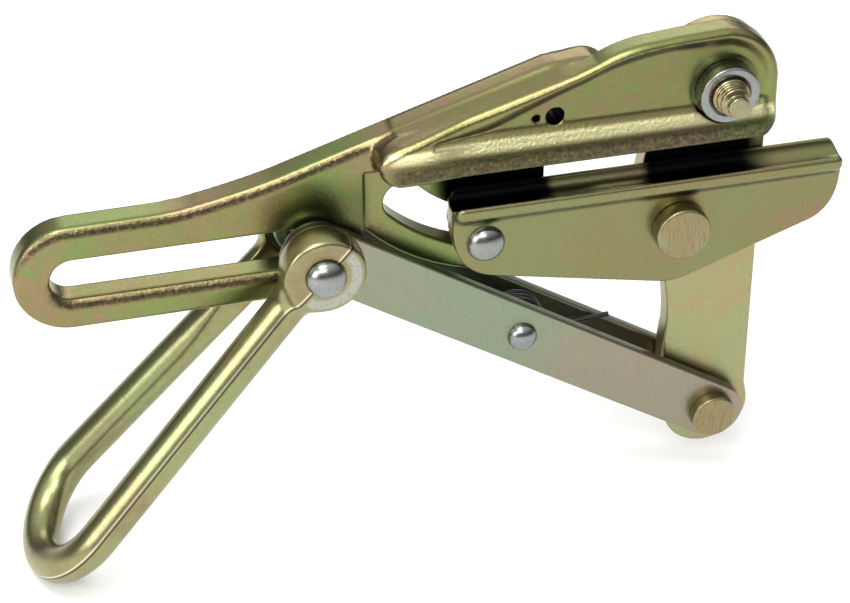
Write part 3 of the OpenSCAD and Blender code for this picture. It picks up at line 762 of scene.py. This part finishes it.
def build_lever():
    step = 0.55
    xs = grid_axis(20, 70, step)
    ys = grid_axis(LEVER_Y0 - 1.2, LEVER_Y1 + 1.2, step)
    zs = grid_axis(-131, 39, step)
    u, v = np.meshgrid(xs, zs, indexing="ij")
    flat = polygon_distance(u, v, LEVER)
    for at, r in ((PIVOT, PIVOT_BUSH_R), (JAW_PIN, JAW_PIN_R), (LINK_PIN, LINK_BUSH_R)):
        flat = cut(flat, disc(u, v, at, r))
    y = ys[None, :, None]
    lever = slab(flat[:, None, :], y, LEVER_Y0, LEVER_Y1, 0.7)
    points, faces, normals = skin(lever, np.array([xs[0], ys[0], zs[0]]), step)
    px, py, pz = points.T
    # painted shade: black on the front face, between the jaws
    dark = step_up(pz, -22, -14) * step_up(pz, 12, 4) * step_up(py, LEVER_Y0 + 1.0, LEVER_Y0 + 0.4)
    add_piece("lever_plate", points, faces, "lever", "plate", ["lever_arm"], rolled_lever,
              normals, dark=dark * step_up(px, 66, 61))


def build_bar(name, node_name, low, high):
    """A link bar, made level from the bail pin and then turned down to the link pin."""
    step = 0.5
    ss = grid_axis(-12, LINK_LEN + 14, step)
    ys = grid_axis(low - 1.0, high + 1.2, step)
    ns = grid_axis(-12, 12, step)
    u, v = np.meshgrid(ss, ns, indexing="ij")
    flat = segment_distance(u, v, (0, 0), (LINK_LEN + 1.4, 0), BAR_HALF)
    for at, r in ((0, BAIL_PIN_R), (LINK_LEN, LINK_PIN_R), (LINK_LEN / 2, SPACER_RIVET_R)):
        flat = cut(flat, disc(u, v, (at, 0), r))
    bar = slab(flat[:, None, :], ys[None, :, None], low, high, 0.75)
    points, faces, normals = skin(bar, np.array([ss[0], ys[0], ns[0]]), step)
    add_piece(name, turned_back(points, BAIL_PIN, LINK_DROP), faces, "links", "plate", [node_name],
              rolled, turned_back(normals, (0, 0), LINK_DROP))


# ---------------------------------------------------------------- turned pieces
SHARP = math.radians(38)


def rounded_profile(corners, steps=5):
    """(radius, y, corner radius) rows to a smooth line of (radius, y)."""
    pts = [np.array(c[:2], float) for c in corners]
    out = [pts[0]]
    for i in range(1, len(pts) - 1):
        r = corners[i][2] if len(corners[i]) > 2 else 0.0
        a, b, c = pts[i - 1], pts[i], pts[i + 1]
        if r <= 0:
            out.append(b)
            continue
        da, dc = a - b, c - b
        la, lc = np.linalg.norm(da), np.linalg.norm(dc)
        r = min(r, la * 0.49, lc * 0.49)
        out.extend(curve(b + da / la * r, b, b + dc / lc * r, steps))
    out.append(pts[-1])
    return np.array(out)


def lathe(name, node_name, body, material, centre, profile, around=96):
    """A turned shape about Y; profile is (radius, y) and closes on itself or on the axis."""
    profile = np.asarray(profile, float)
    on_axis = profile[0][0] < 1e-6
    angle = np.linspace(0, 2 * math.pi, around, endpoint=False)
    points, faces, rings = [], [], []
    for r, y in profile:
        if r < 1e-6:
            rings.append([len(points)] * around)
            points.append((centre[0], y, centre[1]))
        else:
            rings.append(list(range(len(points), len(points) + around)))
            for a in angle:
                points.append((centre[0] + r * math.cos(a), y, centre[1] + r * math.sin(a)))
    count = len(rings)
    pairs = [(i, i + 1) for i in range(count - 1)]
    if not on_axis:
        pairs.append((count - 1, 0))
    for i, j in pairs:
        for k in range(around):
            m = (k + 1) % around
            quad = [rings[i][k], rings[i][m], rings[j][m], rings[j][k]]
            quad = list(dict.fromkeys(quad))
            if len(quad) >= 3:
                faces.append(quad)
    mesh = bpy.data.meshes.new(name)
    mesh.from_pydata([tuple(c * MM for c in p) for p in points], [], faces)
    finish_mesh(name, mesh, body, [node_name], material)


def finish_mesh(name, mesh, body, nodes, material):
    """Outward normals, and smooth faces that keep their sharp edges."""
    mesh.update()
    mesh.polygons.foreach_set("use_smooth", np.ones(len(mesh.polygons), bool))
    bm = bmesh.new()
    bm.from_mesh(mesh)
    bmesh.ops.recalc_face_normals(bm, faces=bm.faces)
    for edge in bm.edges:
        if len(edge.link_faces) == 2 and edge.calc_face_angle(0) > SHARP:
            edge.smooth = False
    bm.to_mesh(mesh)
    bm.free()
    place_piece(name, mesh, body, nodes, material)


def ring_piece(name, node_name, body, material, centre, inner, outer, low, high):
    """A washer, bush or sleeve with broken edges."""
    mid, edge = (low + high) / 2, 0.3
    lathe(name, node_name, body, material, centre, rounded_profile([
        (inner, mid), (inner, low, edge), (outer, low, edge), (outer, high, edge),
        (inner, high, edge), (inner, mid)])[:-1], 72)


def dome(radius, height, flat_y, direction, steps=14):
    """Profile of a rounded rivet head, from its crown to its rim."""
    t = np.linspace(0, math.pi / 2, steps + 1)
    return [(radius * math.sin(a), flat_y + direction * height * math.cos(a)) for a in t]


def build_turned():
    y = RECESS_Y
    rear = LEVER_Y1 + 1.9
    pintail = [  # the grooves that the collar gripped, and the broken end
        (5.3, y - 7.4, 0.4), (5.3, y - 8.3, 0.3), (4.3, y - 8.8, 0.5), (4.3, y - 9.3, 0.5),
        (5.0, y - 9.9, 0.4), (5.0, y - 11.0, 0.4), (3.2, y - 11.7, 0.5), (3.2, y - 12.3, 0.5),
        (3.6, y - 12.9, 0.4), (3.6, y - 14.6, 0.6), (0, y - 14.6)]
    lathe("lockbolt_shank", "lockbolt_pin", "grip", broken, PIVOT, rounded_profile([
        (0, rear + 4.7), (7.0, rear + 4.7, 2.2), (9.4, rear + 1.5, 1.5), (9.4, rear, 0.2),
        (SHANK_R, rear, 0.1), (SHANK_R, y - 7.0, 0.5), *pintail]))
    bore, front = SHANK_R + 0.06, y - COLLAR_H
    lathe("lockbolt_swaged_collar", "lockbolt_collar", "grip", bright, PIVOT,
          rounded_profile([
              (bore, y - 3), (bore, y, 0.2), (COLLAR_R, y, 0.5), (COLLAR_R, front, 0.8),
              (7.4, front, 0.5), (bore, front + 0.7, 0.3), (bore, y - 3)])[:-1])
    ring_piece("pivot_back_washer", "pivot_washer", "grip", headed, PIVOT,
               PIVOT_HOLE_R + RUN_FIT, 11.5, LEVER_Y1 + FIT, rear)
    ring_piece("pivot_bushing", "pivot_bush", "lever", bronze, PIVOT,
               PIVOT_HOLE_R + RUN_FIT, PIVOT_BUSH_R, LEVER_Y0, LEVER_Y1)
    ring_piece("link_bushing", "link_bush", "lever", bronze, LINK_PIN,
               LINK_PIN_R + RUN_FIT, LINK_BUSH_R, LEVER_Y0, LEVER_Y1)
    head, rear = JAW_FACE_Y - 0.2, LEVER_Y1 + 1.6
    lathe("jaw_pin_turned", "jaw_pin", "lever", headed, JAW_PIN, rounded_profile([
        (0, head - JAW_HEAD_H), (JAW_HEAD_R, head - JAW_HEAD_H, 1.0), (JAW_HEAD_R, head, 0.3),
        (JAW_PIN_R, head, 0.1), (JAW_PIN_R, rear, 0.1), (8.2, rear, 0.3), (7.2, rear + 2.4, 0.8),
        (3, rear + 2.9, 1.5), (0, rear + 3.0)]))
    ring_piece("jaw_pin_back_washer", "jaw_pin_washer", "lever", headed, JAW_PIN,
               JAW_PIN_R, 10.0, LEVER_Y1, rear)
    rear, r = TAIL_Y1 + 2.0, GUIDE_RIVET_R
    lathe("guide_rivet_turned", "guide_rivet", "jaw", bright, GUIDE_PIN, np.vstack([
        dome(6.4, 4.0, JAW_FACE_Y, -1), rounded_profile([
            (6.4, JAW_FACE_Y), (r, JAW_FACE_Y, 0.1), (r, rear, 0.1), (6.6, rear, 0.2),
            (6.2, rear + 2.6, 0.8), (4.0, rear + 3.7, 1.5), (0, rear + 3.8)])[1:]]))
    ring_piece("guide_roller", "guide_bush", "jaw", headed, GUIDE_PIN,
               r, GUIDE_HALF - FIT, PLATE_BACK, TAIL_Y1 + 0.4)
    ring_piece("guide_back_washer", "guide_washer", "jaw", headed, GUIDE_PIN,
               r, 8.2, TAIL_Y1 + 0.4, rear)
    front, back, r = MID_Y - BAR_OUT, MID_Y + BAR_OUT, LINK_PIN_R
    lathe("link_pin_turned", "link_pin", "links", headed, LINK_PIN, rounded_profile([
        (0, front - LINK_HEAD_H), (LINK_HEAD_R, front - LINK_HEAD_H, 0.9), (LINK_HEAD_R, front, 0.3),
        (r, front, 0.1), (r, back, 0.1), (7.0, back, 0.3), (6.2, back + 2.4, 0.8), (0, back + 3.0)]))
    ring_piece("front_spacer_ring", "front_lever_spacer", "links", bronze, LINK_PIN,
               r, 9.5, MID_Y - BAR_IN, LEVER_Y0 - FIT)
    ring_piece("rear_spacer_ring", "rear_lever_spacer", "links", bronze, LINK_PIN,
               r, 9.5, LEVER_Y1 + FIT, MID_Y + BAR_IN)
    eye_y = MID_Y + BAIL_SHIFT
    reach = EYE_OUT + FIT
    for name, node_name, at, r, head_r, head_h, low, high in (
            ("spacer_rivet_turned", "spacer_rivet", SPACER, SPACER_RIVET_R, 5.05, 3.6, front, back),
            ("bail_pin_turned", "bail_pin", BAIL_PIN, BAIL_PIN_R, 6.7, 4.3,
             eye_y - reach, eye_y + reach)):
        lathe(name, node_name, "links", bright, at, np.vstack([
            dome(head_r, head_h, low, -1), [(r, low), (r, high)],
            dome(head_r, head_h, high, 1)[::-1]]))
    ring_piece("spacer_tube", "spacer_sleeve", "links", headed, SPACER,
               SPACER_RIVET_R, 5.0, MID_Y - BAR_IN, MID_Y + BAR_IN)
    # painted shade: the near-black material on both eye washers
    ring_piece("front_eye_washer", "front_bail_washer", "links", washer_shade, BAIL_PIN,
               BAIL_PIN_R, 12.5, eye_y - EYE_IN + 0.4, front)
    ring_piece("rear_eye_washer", "rear_bail_washer", "links", washer_shade, BAIL_PIN,
               BAIL_PIN_R, 12.5, back, eye_y + EYE_IN - 0.4)


def build_spring():
    """Three coils about the sleeve, one straight leg up to the web and one along the bars."""
    wire, coil, pitch = 0.9, 9.3, 2.3  # the wire's and the coil's radius, and the rise per turn
    start, sweep = 204, 3 * 360 + 71   # degrees
    low = MID_Y - 3 * pitch / 2
    turn = np.linspace(0, sweep, 150)
    angle = np.radians(start + turn)
    helix = np.stack([SPACER[0] + coil * np.cos(angle), low + pitch * turn / 360,
                      SPACER[1] + coil * np.sin(angle)], 1)
    first = np.array([SPACER[0] - 19.5, low, SPACER[1] + 20.5])
    last = np.array([SPACER[0] + 35, helix[-1, 1] + 0.3, SPACER[1] - 6.7])
    away = np.linspace(0, 1, 12)[:, None]
    path = np.vstack([first + (helix[0] - first) * away[:-1], helix,
                      helix[-1] + (last - helix[-1]) * away[1:]])
    ahead = np.gradient(path, axis=0)
    ahead /= np.linalg.norm(ahead, axis=1)[:, None]
    side = np.cross(ahead, (0, 1, 0))
    side /= np.linalg.norm(side, axis=1)[:, None]
    up = np.cross(ahead, side)
    points, faces, around = [], [], 14
    for k in range(len(path)):
        for a in np.linspace(0, 2 * math.pi, around, endpoint=False):
            points.append(path[k] + wire * (math.cos(a) * side[k] + math.sin(a) * up[k]))
    for k in range(len(path) - 1):
        for i in range(around):
            j = (i + 1) % around
            faces.append((k * around + i, (k + 1) * around + i, (k + 1) * around + j, k * around + j))
    mesh = bpy.data.meshes.new("spring_coils")
    ends = [tuple(range(around)), tuple(reversed(range(len(points) - around, len(points))))]
    mesh.from_pydata([tuple(c * MM for c in p) for p in points], [], faces + ends)
    finish_mesh("spring_coils", mesh, "links", ["torsion_spring"], sprung)


build_body()
build_jaw()
build_bail()
build_lever()
build_bar("front_bar", "front_link_bar", MID_Y - BAR_OUT, MID_Y - BAR_IN)
build_bar("rear_bar", "rear_link_bar", MID_Y + BAR_IN, MID_Y + BAR_OUT)
build_turned()
build_spring()


# ---------------------------------------------------------------- camera, floor and light
AZIMUTH, ELEVATION = math.radians(-14.5), math.radians(34.6)
DISTANCE, LENS, SENSOR = 0.9, 114.35, 36
target = Vector((-47.5, 10.4, -55.6)) * MM
to_camera = Vector((math.sin(AZIMUTH) * math.cos(ELEVATION),
                    -math.cos(AZIMUTH) * math.cos(ELEVATION), math.sin(ELEVATION)))
camera = bpy.data.objects.new("camera", bpy.data.cameras.new("camera"))
bpy.context.scene.collection.objects.link(camera)
camera.data.sensor_width = SENSOR
camera.data.lens = LENS
camera.location = target + to_camera * DISTANCE
camera.rotation_mode = "QUATERNION"
camera.rotation_quaternion = (-to_camera).to_track_quat("-Z", "Y")
camera.data.clip_start, camera.data.clip_end = 0.05, 20
bpy.context.scene.camera = camera


def area_light(name, place, size, power):
    """A soft box at a place in metres, aimed at what the camera looks at."""
    data = bpy.data.lights.new(name, "AREA")
    data.shape = "RECTANGLE"
    data.size, data.size_y = size
    data.energy = power
    lamp = bpy.data.objects.new(name, data)
    bpy.context.scene.collection.objects.link(lamp)
    lamp.location = place
    lamp.rotation_mode = "QUATERNION"
    lamp.rotation_quaternion = (target - Vector(place)).to_track_quat("-Z", "Y")


floor_mesh = bpy.data.meshes.new("floor")
FLOOR_REACH = 6.0
floor_z = cad_low.z - 0.0005
corners = [(a * FLOOR_REACH, b * FLOOR_REACH, floor_z) for a, b in ((-1, -1), (1, -1), (1, 1), (-1, 1))]
floor_mesh.from_pydata(corners, [], [(0, 1, 2, 3)])
floor = bpy.data.objects.new("floor", floor_mesh)
bpy.context.scene.collection.objects.link(floor)
paper = bpy.data.materials.new("paper")
paper.use_nodes = True
paper_shader = paper.node_tree.nodes["Principled BSDF"]
paper_shader.inputs["Base Color"].default_value = (0.86, 0.86, 0.85, 1)
paper_shader.inputs["Roughness"].default_value = 0.9
floor_mesh.materials.append(paper)

world = bpy.data.worlds.new("studio")
bpy.context.scene.world = world
world.use_nodes = True
# a studio whose walls are dark near the floor and whose ceiling is bright
sky = world.node_tree
shine = sky.nodes["Background"]
height = sky.nodes.new("ShaderNodeSeparateXYZ")
sky.links.new(sky.nodes.new("ShaderNodeTexCoord").outputs["Generated"], height.inputs[0])
walls = sky.nodes.new("ShaderNodeValToRGB")
sky.links.new(height.outputs["Z"], walls.inputs[0])
walls.color_ramp.elements[0].color = (0.06, 0.06, 0.06, 1)
walls.color_ramp.elements[1].color = (1, 1, 1, 1)
for level, grey in ((0.22, 0.08), (0.42, 0.40), (0.60, 0.62), (0.80, 1.0)):
    walls.color_ramp.elements.new(level).color = (grey, grey, grey, 1)
sky.links.new(walls.outputs[0], shine.inputs["Color"])
shine.inputs["Strength"].default_value = 1.15
# seen directly, the studio is as pale as its floor
pale = sky.nodes.new("ShaderNodeBackground")
pale.inputs["Color"].default_value = (0.9, 0.9, 0.9, 1)
seen = sky.nodes.new("ShaderNodeMixShader")
sky.links.new(sky.nodes.new("ShaderNodeLightPath").outputs["Is Camera Ray"], seen.inputs[0])
sky.links.new(shine.outputs[0], seen.inputs[1])
sky.links.new(pale.outputs[0], seen.inputs[2])
sky.links.new(seen.outputs[0], sky.nodes["World Output"].inputs["Surface"])
area_light("key", (-0.35, -0.25, 1.1), (0.7, 0.5), 9)
area_light("rim", (0.3, 1.0, 0.6), (1.0, 0.3), 3)
area_light("front", (-0.45, -1.05, 0.95), (0.9, 0.45), 10)
area_light("left", (-1.0, -0.53, 0.38), (0.7, 0.6), 8)
bpy.context.scene.view_settings.view_transform = "Standard"
